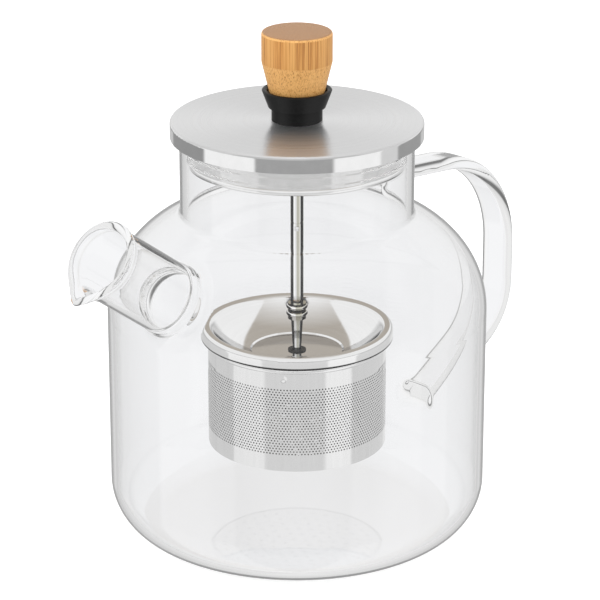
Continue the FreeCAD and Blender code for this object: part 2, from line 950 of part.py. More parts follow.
def main():
    write_sizes()
    make_glass_pot()
    make_glass_spout()
    make_glass_handle()
    make_lid_cap()
    make_lid_plug()
    make_lid_seal()
    make_knob_seat()
    make_plug_bush()
    make_knob()
    make_knob_insert()
    make_rod_stud()
    make_rod()
    make_catch_nub()
    make_catch_spring()
    make_ferrule()
    make_rod_tip()
    make_tip_button()
    make_infuser_cover()
    make_cover_grommet()
    make_cover_skirt()
    make_basket_wall()
    make_basket_rim()
    make_basket_floor()
    document.recompute()
    check_all()
    os.makedirs("parts", exist_ok=True)
    for node, body in PARTS.items():
        body.Shape.exportStep(f"parts/{node}.step")
        print(node, round(body.Shape.Volume, 2), "mm3")


main()
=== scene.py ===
"""Looks for the glass teapot: a fused glass vessel, a steel lid, a bamboo knob on a rod and an infuser.

Lengths in the shape code are millimetres in the row frame; meshes are stored in metres.
"""

import math

import bpy
import numpy as np
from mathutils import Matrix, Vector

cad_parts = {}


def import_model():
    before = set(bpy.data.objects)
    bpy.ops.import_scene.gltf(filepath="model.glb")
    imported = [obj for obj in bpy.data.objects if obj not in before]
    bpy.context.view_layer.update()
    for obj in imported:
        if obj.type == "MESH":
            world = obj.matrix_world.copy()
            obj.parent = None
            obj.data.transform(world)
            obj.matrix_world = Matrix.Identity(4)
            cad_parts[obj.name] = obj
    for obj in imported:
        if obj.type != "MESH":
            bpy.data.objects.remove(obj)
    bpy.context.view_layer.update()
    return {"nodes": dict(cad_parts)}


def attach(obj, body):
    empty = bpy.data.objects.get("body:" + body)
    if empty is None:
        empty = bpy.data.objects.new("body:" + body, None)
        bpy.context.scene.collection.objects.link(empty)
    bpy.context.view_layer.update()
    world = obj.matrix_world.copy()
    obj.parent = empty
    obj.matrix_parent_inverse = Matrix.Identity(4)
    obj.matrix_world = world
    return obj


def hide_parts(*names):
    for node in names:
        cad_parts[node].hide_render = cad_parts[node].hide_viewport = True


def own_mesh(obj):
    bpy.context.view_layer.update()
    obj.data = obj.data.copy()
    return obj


MM = 0.001

# The photo's camera, slightly above the pot and between its front and its spout.
# Azimuth 0 looks from the front, -Y, and a negative one from the spout's side.
CAMERA_AZIMUTH = -46.5
CAMERA_ELEVATION = 20.53
CAMERA_DISTANCE = 1161.0
CAMERA_AIM_HEIGHT = 94.3
CAMERA_LENS = 175.9
CAMERA_SHIFT = 0.005

# the pot: a straight wall, a rounded base corner, a two-arc shoulder and a straight neck
POT_RADIUS = 75.0
POT_WALL = 2.6
BASE_CORNER = 20.8
SHOULDER_START = 91.7
SHOULDER_LOW_RADIUS = 39.4
SHOULDER_LOW_ANGLE = math.radians(34.8)
SHOULDER_HIGH_RADIUS = 45.8
NECK_RADIUS = 45.8
NECK_BLEND = 2.5
RIM_HEIGHT = 165.6
RIM_ROUND = 1.8
# the spout: a straight tube from its mouth, as (across, up), down into the pot
SPOUT_RADIUS = 14.0
SPOUT_WALL = 2.0
SPOUT_ANGLE = math.radians(36.0)
SPOUT_MOUTH = (-105.3, 139.2)
SPOUT_LENGTH = 66.0
SPOUT_FLARE_LENGTH = 8.0
SPOUT_FLARE = 0.6
SPOUT_BEAD = 1.7
SPOUT_BEAD_WELD = 1.2
# the pouring lip: how wide it is in radians, and how far its tip is pulled out and forward
LIP_WIDTH = 0.42
LIP_SHARPNESS = 1.5
LIP_OUT = 3.6
LIP_FORWARD = 2.2
LIP_LENGTH = 12.0
# how widely the spout's outside and bore blend into the pot's
SPOUT_WELD = 5.0
SPOUT_BORE_WELD = 3.0
# the ring left where the spout was welded to the pot's drawn-out collar
COLLAR_OUT = 4.6
COLLAR_WIDE = 1.3
COLLAR_RISE = 0.5
COLLAR_PINCH = 0.9
# the handle: a flat ribbon on a path of lines and arcs from the neck to the wall
HANDLE_WIDTH = 14.5
HANDLE_THICK = 5.5
HANDLE_ROUND = 2.6
HANDLE_SLOPE = math.radians(5.0)
HANDLE_ROOT = 42.0
HANDLE_TOP_RADIUS = 44.55
HANDLE_TOP_CENTRE = 79.5
HANDLE_BEND_HEIGHT = 88.0
HANDLE_LOW_RADIUS = 27.25
HANDLE_LOW_HEIGHT = 72.2
HANDLE_LOW_ANGLE = math.radians(64.5)
HANDLE_FOOT = 71.0
HANDLE_WELD = 5.0
# grid steps as (start, end, step) stretches along each axis, finer round the spout and the handle
GRID_X = [(-121.9, -61.9, 0.8), (-61.9, 62.1, 1.3), (62.1, 129.1, 0.75)]
GRID_Y = [(-77.0, -16.5, 1.4), (-16.5, 16.5, 0.75), (16.5, 77.0, 1.4)]
GRID_Z = [(-1.5, 40.0, 1.2), (40.0, 172.0, 0.9)]


# ---------------------------------------------------------------- shapes from distance fields


def line_gap(a, b, start, end):
    """Distance from points (a, b) to the segment from start to end."""
    start, end = np.array(start), np.array(end)
    way = end - start
    share = np.clip(((a - start[0]) * way[0] + (b - start[1]) * way[1]) / (way @ way), 0, 1)
    return np.hypot(a - start[0] - share * way[0], b - start[1] - share * way[1])


def arc_gap(a, b, centre, radius, first, last):
    """Distance from points (a, b) to an arc between two angles."""
    angle = np.arctan2(b - centre[1], a - centre[0])
    middle = (first + last) / 2
    turn = (angle - middle + math.pi) % (2 * math.pi) - math.pi
    angle = middle + np.clip(turn, first - middle, last - middle)
    return np.hypot(a - centre[0] - radius * np.cos(angle), b - centre[1] - radius * np.sin(angle))


def smooth_min(a, b, blend):
    """The smaller of two fields, rounded where they meet."""
    near = np.maximum(blend - np.abs(a - b), 0) / blend
    return np.minimum(a, b) - near * near * blend / 4


def pot_distance(r, z, inset, top):
    """Signed distance to the pot's outside (inset 0), or to its hollow (inset the wall)."""
    shift = SHOULDER_LOW_RADIUS - SHOULDER_HIGH_RADIUS
    dome = (
        POT_RADIUS - SHOULDER_LOW_RADIUS + shift * math.cos(SHOULDER_LOW_ANGLE),
        SHOULDER_START + shift * math.sin(SHOULDER_LOW_ANGLE),
    )
    reach = SHOULDER_HIGH_RADIUS + NECK_BLEND
    blend_r = NECK_RADIUS + NECK_BLEND
    blend_z = dome[1] + math.sqrt(reach**2 - (blend_r - dome[0]) ** 2)
    turn = math.atan2(blend_z - dome[1], blend_r - dome[0])
    low, high, blend = SHOULDER_LOW_RADIUS - inset, SHOULDER_HIGH_RADIUS - inset, NECK_BLEND + inset
    low_centre = (POT_RADIUS - SHOULDER_LOW_RADIUS, SHOULDER_START)
    corner = BASE_CORNER - inset
    gap = np.minimum.reduce([
        line_gap(r, z, (-1, inset), (POT_RADIUS - BASE_CORNER, inset)),
        arc_gap(r, z, (POT_RADIUS - BASE_CORNER, BASE_CORNER), corner, -math.pi / 2, 0),
        line_gap(r, z, (POT_RADIUS - inset, BASE_CORNER), (POT_RADIUS - inset, SHOULDER_START)),
        arc_gap(r, z, low_centre, low, 0, SHOULDER_LOW_ANGLE),
        arc_gap(r, z, dome, high, SHOULDER_LOW_ANGLE, turn),
        arc_gap(r, z, (blend_r, blend_z), blend, -math.pi, turn - math.pi),
        line_gap(r, z, (NECK_RADIUS - inset, blend_z), (NECK_RADIUS - inset, top)),
        line_gap(r, z, (-1, top), (NECK_RADIUS - inset, top)),
    ])
    low_top = SHOULDER_START + low * math.sin(SHOULDER_LOW_ANGLE)
    dome_top = dome[1] + high * math.sin(turn)

    def circle(radius, height):
        return np.sqrt(np.maximum(radius**2 - height**2, 0))

    edge = np.select(
        [z < BASE_CORNER, z < SHOULDER_START, z < low_top, z < dome_top, z < blend_z],
        [
            POT_RADIUS - BASE_CORNER + circle(corner, BASE_CORNER - z),
            POT_RADIUS - inset,
            low_centre[0] + circle(low, z - SHOULDER_START),
            dome[0] + circle(high, z - dome[1]),
            blend_r - circle(blend, blend_z - z),
        ],
        NECK_RADIUS - inset,
    )
    inside = (r < edge) & (z > inset) & (z < top)
    return np.where(inside, -gap, gap)


def spout_distances(x, y, z, from_pot):
    """Signed distances to the spout's outside, its bore and the bead round its mouth and pouring lip."""
    back = (x - SPOUT_MOUTH[0]) * math.cos(SPOUT_ANGLE) - (z - SPOUT_MOUTH[1]) * math.sin(SPOUT_ANGLE)
    up = (x - SPOUT_MOUTH[0]) * math.sin(SPOUT_ANGLE) + (z - SPOUT_MOUTH[1]) * math.cos(SPOUT_ANGLE)
    out = np.hypot(up, y)
    lip = np.exp(-np.abs(np.arctan2(y, -up) / LIP_WIDTH) ** LIP_SHARPNESS)
    flare = SPOUT_FLARE * (np.maximum(SPOUT_FLARE_LENGTH - back, 0) / SPOUT_FLARE_LENGTH) ** 2
    pull = LIP_OUT * lip * (np.maximum(LIP_LENGTH - back, 0) / LIP_LENGTH) ** 2
    collar = np.exp(-(((from_pot - COLLAR_OUT) / COLLAR_WIDE) ** 2))
    radius = SPOUT_RADIUS + flare + pull
    start = SPOUT_BEAD - LIP_FORWARD * lip
    outside = np.maximum.reduce([out - radius - COLLAR_RISE * collar, start - back, back - SPOUT_LENGTH])
    bore = np.maximum(out - radius + SPOUT_WALL + COLLAR_PINCH * collar, back - SPOUT_LENGTH)
    bead = np.hypot(back - start, out - radius + SPOUT_WALL / 2) - SPOUT_BEAD
    return outside, bore, bead


def handle_distance(x, y, z):
    """Signed distance to the ribbon that follows the handle's lines and arcs."""
    centre = (HANDLE_TOP_CENTRE, HANDLE_BEND_HEIGHT)
    far = HANDLE_TOP_CENTRE + HANDLE_TOP_RADIUS
    start_angle = math.pi / 2 - HANDLE_SLOPE
    top = (
        centre[0] + HANDLE_TOP_RADIUS * math.cos(start_angle),
        centre[1] + HANDLE_TOP_RADIUS * math.sin(start_angle),
    )
    root = (HANDLE_ROOT, top[1] + (top[0] - HANDLE_ROOT) * math.tan(HANDLE_SLOPE))
    low_centre = (far - HANDLE_LOW_RADIUS, HANDLE_LOW_HEIGHT)
    low = (
        low_centre[0] + HANDLE_LOW_RADIUS * math.cos(HANDLE_LOW_ANGLE),
        low_centre[1] - HANDLE_LOW_RADIUS * math.sin(HANDLE_LOW_ANGLE),
    )
    foot = (HANDLE_FOOT, low[1] - (low[0] - HANDLE_FOOT) / math.tan(HANDLE_LOW_ANGLE))
    across = np.minimum.reduce([
        line_gap(x, z, root, top),
        arc_gap(x, z, centre, HANDLE_TOP_RADIUS, 0, start_angle),
        line_gap(x, z, (far, HANDLE_BEND_HEIGHT), (far, HANDLE_LOW_HEIGHT)),
        arc_gap(x, z, low_centre, HANDLE_LOW_RADIUS, -HANDLE_LOW_ANGLE, 0),
        line_gap(x, z, low, foot),
    ])
    thick = across - (HANDLE_THICK / 2 - HANDLE_ROUND)
    wide = np.abs(y) - (HANDLE_WIDTH / 2 - HANDLE_ROUND)
    rim = np.hypot(np.maximum(thick, 0), np.maximum(wide, 0))
    return rim + np.minimum(np.maximum(thick, wide), 0) - HANDLE_ROUND


def vessel_distance(x, y, z):
    """Signed distance to all the glass: outside shapes welded together, less the joined hollows."""
    r = np.hypot(x, y)
    pot = pot_distance(r, z, 0.0, RIM_HEIGHT)
    spout, bore, bead = spout_distances(x, y, z, pot)
    outside = smooth_min(pot, spout, SPOUT_WELD)
    outside = smooth_min(outside, handle_distance(x, y, z), HANDLE_WELD)
    hollow = smooth_min(pot_distance(r, z, POT_WALL, RIM_HEIGHT * 2), bore, SPOUT_BORE_WELD)
    glass = -smooth_min(-outside, hollow, RIM_ROUND)
    return smooth_min(glass, bead, SPOUT_BEAD_WELD)


def spaced(stretches):
    """Grid lines along one axis, evenly spaced within each (start, end, step) stretch."""
    lines = [np.array([stretches[0][0]])]
    for start, end, step in stretches:
        lines.append(np.linspace(start, end, math.ceil((end - start) / step) + 1)[1:])
    return np.concatenate(lines)


def surface_net(distance, axes):
    """Corner points and quads of the zero surface of a distance field on a grid of lines."""
    grids = np.meshgrid(*axes, indexing="ij")
    field = distance(*grids)
    inside = field < 0
    corners = [(i, j, k) for i in (0, 1) for j in (0, 1) for k in (0, 1)]
    cut = [slice(None, -1), slice(1, None)]
    total = sum(inside[cut[i], cut[j], cut[k]].astype(np.int8) for i, j, k in corners)
    cells = np.argwhere((total > 0) & (total < len(corners)))
    index = np.full(total.shape, -1)
    index[tuple(cells.T)] = np.arange(len(cells))
    place, crossings = np.zeros((len(cells), 3)), np.zeros(len(cells))
    for corner in corners:
        for axis in range(3):
            if corner[axis]:
                continue
            other = tuple(1 if k == axis else corner[k] for k in range(3))
            here = field[tuple((cells + corner).T)]
            there = field[tuple((cells + other).T)]
            crossed = (here < 0) != (there < 0)
            share = np.where(crossed, here / np.where(crossed, here - there, 1), 0)
            point = np.array(corner) + share[:, None] * np.eye(3)[axis]
            place += point * crossed[:, None]
            crossings += crossed
    place = cells + place / crossings[:, None]
    points = np.stack([np.interp(place[:, k], np.arange(len(axes[k])), axes[k]) for k in range(3)], axis=1)
    quads = []
    for axis in range(3):
        first, second = (axis + 1) % 3, (axis + 2) % 3
        near = [slice(None)] * 3
        far = [slice(None)] * 3
        near[axis], far[axis] = slice(None, -1), slice(1, None)
        for k in (first, second):
            near[k] = far[k] = slice(1, -1)
        start, end = inside[tuple(near)], inside[tuple(far)]
        edges = np.argwhere(start != end)
        leaving = start[tuple(edges.T)]
        edges[:, first] += 1
        edges[:, second] += 1
        around = []
        for back_first, back_second in ((1, 1), (0, 1), (0, 0), (1, 0)):
            cell = edges.copy()
            cell[:, first] -= back_first
            cell[:, second] -= back_second
            around.append(index[tuple(cell.T)])
        ring = np.stack(around, axis=1)
        quads += [ring[leaving], ring[~leaving][:, ::-1]]
    return points, np.concatenate(quads)


def field_slope(distance, points, reach=0.02):
    """The direction in which the field grows at each point."""
    slope = np.empty_like(points)
    for axis in range(3):
        shift = reach * np.eye(3)[axis]
        slope[:, axis] = (distance(*(points + shift).T) - distance(*(points - shift).T)) / (2 * reach)
    return slope


def settle(distance, points, rounds=4, longest=0.6):
    """Move points onto the zero surface along the field's slope."""
    for _ in range(rounds):
        slope = field_slope(distance, points)
        step = -distance(*points.T) / np.maximum((slope**2).sum(1), 0.1)
        points = points + slope * np.clip(step, -longest, longest)[:, None]
    return points


# ---------------------------------------------------------------- meshes


def mesh_object(name, points, faces, body, slot, *nodes):
    """A mesh from millimetre points that rides on a body and stands for CAD nodes."""
    mesh = bpy.data.meshes.new(name)
    mesh.from_pydata((np.asarray(points) * MM).tolist(), [], [list(map(int, face)) for face in faces])
    mesh.validate()
    mesh.shade_smooth()
    made = bpy.data.objects.new(name, mesh)
    bpy.context.scene.collection.objects.link(made)
    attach(made, body)
    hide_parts(*nodes)
    return made


def make_vessel():
    """The fused glass: a fine net over the field, set exactly on its surface and shaded by its slope."""
    points, quads = surface_net(vessel_distance, [spaced(GRID_X), spaced(GRID_Y), spaced(GRID_Z)])
    points = settle(vessel_distance, points)
    stands_for = ("glass_pot", "glass_spout", "glass_handle")
    vessel = mesh_object("vessel", points, quads, "pot", "glass", *stands_for)
    slope = field_slope(vessel_distance, points)
    normals = slope / np.linalg.norm(slope, axis=1, keepdims=True)
    vessel.data.normals_split_custom_set_from_vertices(normals.tolist())
    return vessel


def rounded(corners, steps=6):
    """A closed outline from (r, z, round) corners, each rounded by its own radius."""
    points = []
    for number, (r, z, radius) in enumerate(corners):
        here = np.array((r, z))
        if radius <= 0:
            points.append(here)
            continue
        before = np.array(corners[number - 1][:2]) - here
        after = np.array(corners[(number + 1) % len(corners)][:2]) - here
        before, after = before / np.linalg.norm(before), after / np.linalg.norm(after)
        half = math.acos(np.clip(before @ after, -1, 1)) / 2
        inward = (before + after) / np.linalg.norm(before + after)
        centre = here + inward * radius / math.sin(half)
        start, end = here + before * radius / math.tan(half), here + after * radius / math.tan(half)
        for share in np.linspace(0, 1, steps):
            way = start + (end - start) * share - centre
            points.append(centre + way / np.linalg.norm(way) * radius)
    return np.array(points)


# faces that meet at more than this angle keep a hard edge between them
LATHE_SHARP = math.radians(35)


def lathe(name, outline, sides, body, slot, *nodes):
    """Turn a closed outline of (r, z) points about the pot's axis; a point on the axis becomes one pole."""
    angles = np.linspace(0, 2 * math.pi, sides, endpoint=False)
    points, rows = [], []
    for r, z in outline:
        first = len(points)
        if r <= 0:
            points.append((0, 0, z))
            rows.append([first] * sides)
        else:
            points += [(r * math.cos(angle), r * math.sin(angle), z) for angle in angles]
            rows.append(list(range(first, first + sides)))
    faces = []
    for low, high in zip(rows, rows[1:] + rows[:1]):
        for side in range(sides):
            after = (side + 1) % sides
            corners = dict.fromkeys((low[side], low[after], high[after], high[side]))
            if len(corners) > 2:
                faces.append(tuple(corners))
    made = mesh_object(name, points, faces, body, slot, *nodes)
    made.data.set_sharp_from_angle(angle=LATHE_SHARP)
    return made


# perforated wall of the basket, with hexagonal holes
WALL_RADIUS = 35.5
WALL_SHEET = 0.4
WALL_FOOT = 36.2
WALL_TOP = 79.3
WALL_COLUMNS = 178
HOLE_ROWS = 26
HOLE_LOW = 42.9
HOLE_HIGH = 70.9
HOLE_RADIUS = 0.35
HOLE_CORNERS = 6
PLAIN_STEP = 0.65
WALL_SHARP = math.radians(40)
DIMPLE_ANGLES = [math.radians(215 + turn) for turn in (0, 120, 240)]
DIMPLE_HEIGHT = 74.9
DIMPLE_RADIUS = 1.6
DIMPLE_DEPTH = 0.8


def dimple_push(angle, z):
    """How far the wall is pushed inward at a place."""
    push = 0.0
    for centre in DIMPLE_ANGLES:
        around = (angle - centre + math.pi) % (2 * math.pi) - math.pi
        gap = math.hypot(around * WALL_RADIUS, z - DIMPLE_HEIGHT) / DIMPLE_RADIUS
        if gap < 1:
            push += DIMPLE_DEPTH * (1 - gap * gap) ** 2
    return push


def make_basket_wall():
    """A sheet ring with staggered holes, each in a brick whose edge points its neighbours share."""
    halves = WALL_COLUMNS * 2
    half_turn = 2 * math.pi / halves
    pitch = (HOLE_HIGH - HOLE_LOW) / HOLE_ROWS
    points, faces = [], []

    def add_ring(z):
        start = len(points)
        for radius in (WALL_RADIUS, WALL_RADIUS - WALL_SHEET):
            for number in range(halves):
                angle = number * half_turn
                r = radius - dimple_push(angle, z)
                points.append((r * math.cos(angle), r * math.sin(angle), z))
        return start

    def add_band(low, high):
        for number in range(halves):
            after = (number + 1) % halves
            faces.append((low + number, low + after, high + after, high + number))
            back_low, back_high = low + halves, high + halves
            faces.append((back_low + after, back_low + number, back_high + number, back_high + after))

    def add_brick(low, high, row, column):
        middle = (2 * column + row % 2) % halves
        left, right = (middle - 1) % halves, (middle + 1) % halves
        height = HOLE_LOW + (row + 0.5) * pitch
        start = len(points)
        for radius in (WALL_RADIUS, WALL_RADIUS - WALL_SHEET):
            for corner in range(HOLE_CORNERS):
                turn = 2 * math.pi * (corner + 0.5) / HOLE_CORNERS
                angle = middle * half_turn + HOLE_RADIUS * math.cos(turn) / WALL_RADIUS
                z = height + HOLE_RADIUS * math.sin(turn)
                points.append((radius * math.cos(angle), radius * math.sin(angle), z))
        border = [high + right, high + middle, high + left, low + left, low + middle, low + right]
        for corner in range(HOLE_CORNERS):
            after = (corner + 1) % HOLE_CORNERS
            outer, outer_after = border[corner], border[after]
            hole, hole_after = start + corner, start + after
            faces.append((outer, outer_after, hole_after, hole))
            back, back_after = hole + HOLE_CORNERS, hole_after + HOLE_CORNERS
            faces.append((outer_after + halves, outer + halves, back, back_after))
            faces.append((hole, hole_after, back_after, back))

    def plain(first, last):
        steps = max(2, round((last - first) / PLAIN_STEP))
        return np.linspace(first, last, steps + 1)

    rings = [add_ring(z) for z in plain(WALL_FOOT, HOLE_LOW)]
    for low, high in zip(rings, rings[1:]):
        add_band(low, high)
    bottom, low = rings[0], rings[-1]
    for row in range(HOLE_ROWS):
        high = add_ring(HOLE_LOW + (row + 1) * pitch)
        for column in range(WALL_COLUMNS):
            add_brick(low, high, row, column)
        low = high
    for z in plain(HOLE_HIGH, WALL_TOP)[1:]:
        high = add_ring(z)
        add_band(low, high)
        low = high
    for number in range(halves):
        after = (number + 1) % halves
        back_bottom, back_top = bottom + halves, low + halves
        faces.append((bottom + after, bottom + number, back_bottom + number, back_bottom + after))
        faces.append((low + number, low + after, back_top + after, back_top + number))
    wall = mesh_object("basket_wall_fine", points, faces, "basket", "steel_brushed", "basket_wall")
    wall.data.set_sharp_from_angle(angle=WALL_SHARP)
    return wall


# the clear seal: a sleeve with thin lips, under a flange that rests on the glass
SEAL_INSIDE = 40.9
SEAL_BODY = 42.0
SEAL_LIP = 43.1
SEAL_FOOT = 154.0
SEAL_LIPS = 3
SEAL_LIP_GAP = 3.3
SEAL_LIP_HEIGHT = 0.9
SEAL_FLANGE = 47.6
SEAL_FLANGE_FOOT = 165.65
SEAL_FLANGE_TOP = 167.65
SEAL_ROUND = 0.3
SEAL_FLANGE_ROUND = 0.6
SEAL_LIP_ROUND = 0.15
SEAL_GROOVE_ROUND = 0.1
SEAL_SIDES = 256


def make_seal():
    outline = [(SEAL_INSIDE, SEAL_FOOT, 0.0), (SEAL_BODY, SEAL_FOOT, SEAL_ROUND)]
    for lip in range(SEAL_LIPS):
        start = SEAL_FOOT + SEAL_LIP_GAP * lip + SEAL_LIP_HEIGHT
        outline += [
            (SEAL_BODY, start, SEAL_GROOVE_ROUND),
            (SEAL_LIP, start + SEAL_LIP_HEIGHT / 2, SEAL_LIP_ROUND),
            (SEAL_BODY, start + SEAL_LIP_HEIGHT, SEAL_GROOVE_ROUND),
        ]
    outline += [
        (SEAL_BODY, SEAL_FLANGE_FOOT, SEAL_ROUND),
        (SEAL_FLANGE, SEAL_FLANGE_FOOT, SEAL_FLANGE_ROUND),
        (SEAL_FLANGE, SEAL_FLANGE_TOP, SEAL_ROUND),
        (SEAL_INSIDE, SEAL_FLANGE_TOP, 0.0),
    ]
    return lathe("seal_turned", rounded(outline), SEAL_SIDES, "lid", "silicone_clear", "lid_seal")


# the knob's outline as (radius, height, rounding) corners
KNOB_OUTLINE = [
    (4.0, 180.0, 0.0),
    (10.7, 180.0, 0.5),
    (13.75, 192.5, 4.0),
    (13.75, 204.3, 1.1),
    (0.0, 204.3, 0.0),
    (0.0, 191.5, 0.0),
    (4.0, 191.5, 0.0),
]
KNOB_SIDES = 192


def make_knob():
    return lathe("knob_turned", rounded(KNOB_OUTLINE), KNOB_SIDES, "plunger", "bamboo", "knob")


# ---------------------------------------------------------------- materials

# noise scales, as features to a metre
GLASS_DRIFT = 9.0
GLASS_WAVES = 18.0
SPUN_RINGS = 2600.0
TURNED_RINGS = 900.0
POLISH_HAZE = 220.0
RUBBER_GRAIN = 900.0
CLOUDY_SPOTS = 300.0
PAPER_GRAIN = 30.0
# noise scales that differ (across, along) the pot's axis
SHEET_GRAIN = (700.0, 30.0)
BAMBOO_FIBRES = (1500.0, 18.0)
BAMBOO_STREAKS = (260.0, 6.0)
BAMBOO_SPECKS = (2400.0, 900.0)
# base tones of the metals, as ramp stops
BRIGHT_STEEL = [(0.3, 0.80), (0.7, 0.84)]
NEARLY_BLACK = (0.01, 0.01, 0.01)


class NodeKit:
    """Short ways to add nodes to a tree."""

    def __init__(self, tree):
        self.nodes, self.links = tree.nodes, tree.links

    def new(self, kind, **sources):
        node = self.nodes.new(f"ShaderNode{kind}")
        for key, source in sources.items():
            self.links.new(source, node.inputs[key])
        return node

    def feed(self, socket, value):
        """Link a socket to an output, or set it to a number or colour."""
        if isinstance(value, (int, float)):
            socket.default_value = value
        elif isinstance(value, tuple):
            socket.default_value = (*value, 1)
        else:
            self.links.new(value, socket)

    def maths(self, operation, *values):
        node = self.new("Math")
        node.operation = operation
        for socket, value in zip(node.inputs, values):
            self.feed(socket, value)
        return node.outputs[0]

    def ramp(self, factor, stops):
        """A colour ramp from (place, colour) stops; a colour may be one grey number."""
        node = self.new("ValToRGB", Fac=factor)
        elements = node.color_ramp.elements
        while len(elements) < len(stops):
            elements.new(1.0)
        for element, (place, colour) in zip(elements, stops):
            element.position = place
            element.color = (*colour, 1) if isinstance(colour, tuple) else (colour, colour, colour, 1)
        return node.outputs["Color"]

    def mix(self, factor, first, second):
        node = self.new("Mix")
        node.data_type = "RGBA"
        for socket, value in zip((node.inputs[0], node.inputs[6], node.inputs[7]), (factor, first, second)):
            self.feed(socket, value)
        return node.outputs[2]

    def noise(self, vector, scale, detail=4.0, roughness=0.55):
        node = self.new("TexNoise", Vector=vector)
        for key, value in (("Scale", scale), ("Detail", detail), ("Roughness", roughness)):
            node.inputs[key].default_value = value
        return node.outputs["Fac"]


class Look(NodeKit):
    """A node material built around one Principled shader."""

    def __init__(self, name, **values):
        self.material = bpy.data.materials.new(name)
        self.material.use_nodes = True
        super().__init__(self.material.node_tree)
        self.shader = self.nodes["Principled BSDF"]
        self.place = self.new("TexCoord").outputs["Object"]
        for key, value in values.items():
            self.shader.inputs[key.replace("_", " ")].default_value = value

    def stretched(self, across, along):
        """Place coordinates stretched differently across and along the pot's axis."""
        scale = self.new("Mapping", Vector=self.place)
        scale.inputs["Scale"].default_value = (across, across, along)
        return scale.outputs["Vector"]

    def from_axis(self):
        """Distance from the pot's axis."""
        split = self.new("SeparateXYZ", Vector=self.place)
        squares = [self.maths("POWER", split.outputs[axis], 2.0) for axis in "XY"]
        return self.maths("POWER", self.maths("ADD", *squares), 0.5)

    def rings(self, count):
        """Coordinates that change only with distance from the axis and height, for turned or spun metal."""
        height = self.new("SeparateXYZ", Vector=self.place).outputs["Z"]
        across = self.maths("MULTIPLY", self.from_axis(), count)
        along = self.maths("MULTIPLY", height, count)
        return self.new("CombineXYZ", X=across, Y=along).outputs["Vector"]

    def set(self, key, value):
        self.links.new(value, self.shader.inputs[key])

    def bump(self, height, strength, distance):
        """Shade the surface as if raised by height, over distance in metres."""
        node = self.new("Bump", Height=height)
        node.inputs["Strength"].default_value = strength
        node.inputs["Distance"].default_value = distance
        self.set("Normal", node.outputs["Normal"])

    def facing_up(self):
        """How far the surface faces up, from -1 to 1."""
        return self.new("SeparateXYZ", Vector=self.new("NewGeometry").outputs["Normal"]).outputs["Z"]

    def across_view(self):
        """How far the surface faces to the viewer's right, from 0 (left edge) to 1 (right edge)."""
        turned = self.new("VectorTransform", Vector=self.new("NewGeometry").outputs["Normal"])
        turned.vector_type, turned.convert_from, turned.convert_to = "NORMAL", "WORLD", "CAMERA"
        sideways = self.new("SeparateXYZ", Vector=turned.outputs["Vector"]).outputs["X"]
        return self.maths("MULTIPLY_ADD", sideways, 0.5, 0.5)

    def around_axis(self, amount, turn):
        """Make highlights uneven about a direction that runs round the axis."""
        tangent = self.new("Tangent")
        tangent.direction_type = "RADIAL"
        tangent.axis = "Z"
        self.set("Tangent", tangent.outputs["Tangent"])
        self.shader.inputs["Anisotropic"].default_value = amount
        self.shader.inputs["Anisotropic Rotation"].default_value = turn


def glass_look():
    """Blown glass: clear, with slow waves too faint to see except in what it bends."""
    look = Look("glass_clear", Roughness=0.0, IOR=1.47, Transmission_Weight=1.0)
    drift = look.noise(look.place, GLASS_DRIFT, detail=1.0)
    look.set("Base Color", look.ramp(drift, [(0.3, 0.965), (0.7, 0.985)]))
    look.bump(look.noise(look.place, GLASS_WAVES, detail=1.0), strength=0.015, distance=0.002)
    return look.material


def spun_look():
    """Spun stainless: fine rings in tone, roughness and height, with highlights smeared across them."""
    look = Look("steel_spun", Metallic=1.0)
    rings = look.noise(look.rings(SPUN_RINGS), 1.0, detail=6.0, roughness=0.8)
    look.set("Base Color", look.ramp(rings, [(0.3, 0.72), (0.7, 0.80)]))
    look.set("Roughness", look.ramp(rings, [(0.3, 0.26), (0.7, 0.32)]))
    look.bump(rings, strength=0.05, distance=0.0002)
    look.around_axis(amount=0.92, turn=0.25)
    return look.material


def satin_look():
    """Drawn sheet: nearly mirror bright with a faint upright grain."""
    look = Look("steel_satin", Metallic=1.0)
    grain = look.noise(look.stretched(*SHEET_GRAIN), 1.0, detail=4.0)
    look.set("Base Color", look.ramp(grain, [(0.3, 0.77), (0.7, 0.81)]))
    look.set("Roughness", look.ramp(grain, [(0.3, 0.08), (0.7, 0.11)]))
    return look.material


def polished_look():
    """Bright steel with a slight uneven haze."""
    look = Look("steel_polished", Metallic=1.0)
    haze = look.noise(look.place, POLISH_HAZE, detail=3.0)
    look.set("Base Color", look.ramp(haze, BRIGHT_STEEL))
    look.set("Roughness", look.ramp(haze, [(0.35, 0.04), (0.75, 0.08)]))
    return look.material


# painted reflection: tones across a polished bar from its left edge to its right edge, as seen by the
# viewer
BAR_GREY = (0.60, 0.59, 0.51)
BAR_PAINTED_REFLECTION = [
    (0.18, 0.01), (0.23, 0.30), (0.26, 0.99), (0.42, 0.99), (0.47, BAR_GREY),
    (0.70, BAR_GREY), (0.74, 0.80), (0.77, 0.30), (0.81, 0.01),
]


def plug_look():
    """Bright plug whose rolled foot has painted dark reflections towards the left and right edges the
    viewer sees.
    """
    look = Look("steel_plug", Metallic=1.0)
    haze = look.noise(look.place, POLISH_HAZE, detail=3.0)
    # painted reflection: the foot turns nearly black towards the viewer's left and right edges
    middle = look.ramp(look.across_view(), [(0.10, 0.0), (0.20, 1.0), (0.80, 1.0), (0.90, 0.0)])
    upright = look.ramp(look.maths("ADD", look.facing_up(), 0.5), [(0.42, 0.0), (0.49, 1.0)])
    lit = look.maths("MAXIMUM", middle, upright)
    look.set("Base Color", look.mix(lit, NEARLY_BLACK, look.ramp(haze, BRIGHT_STEEL)))
    look.set("Roughness", look.ramp(haze, [(0.35, 0.04), (0.75, 0.08)]))
    return look.material


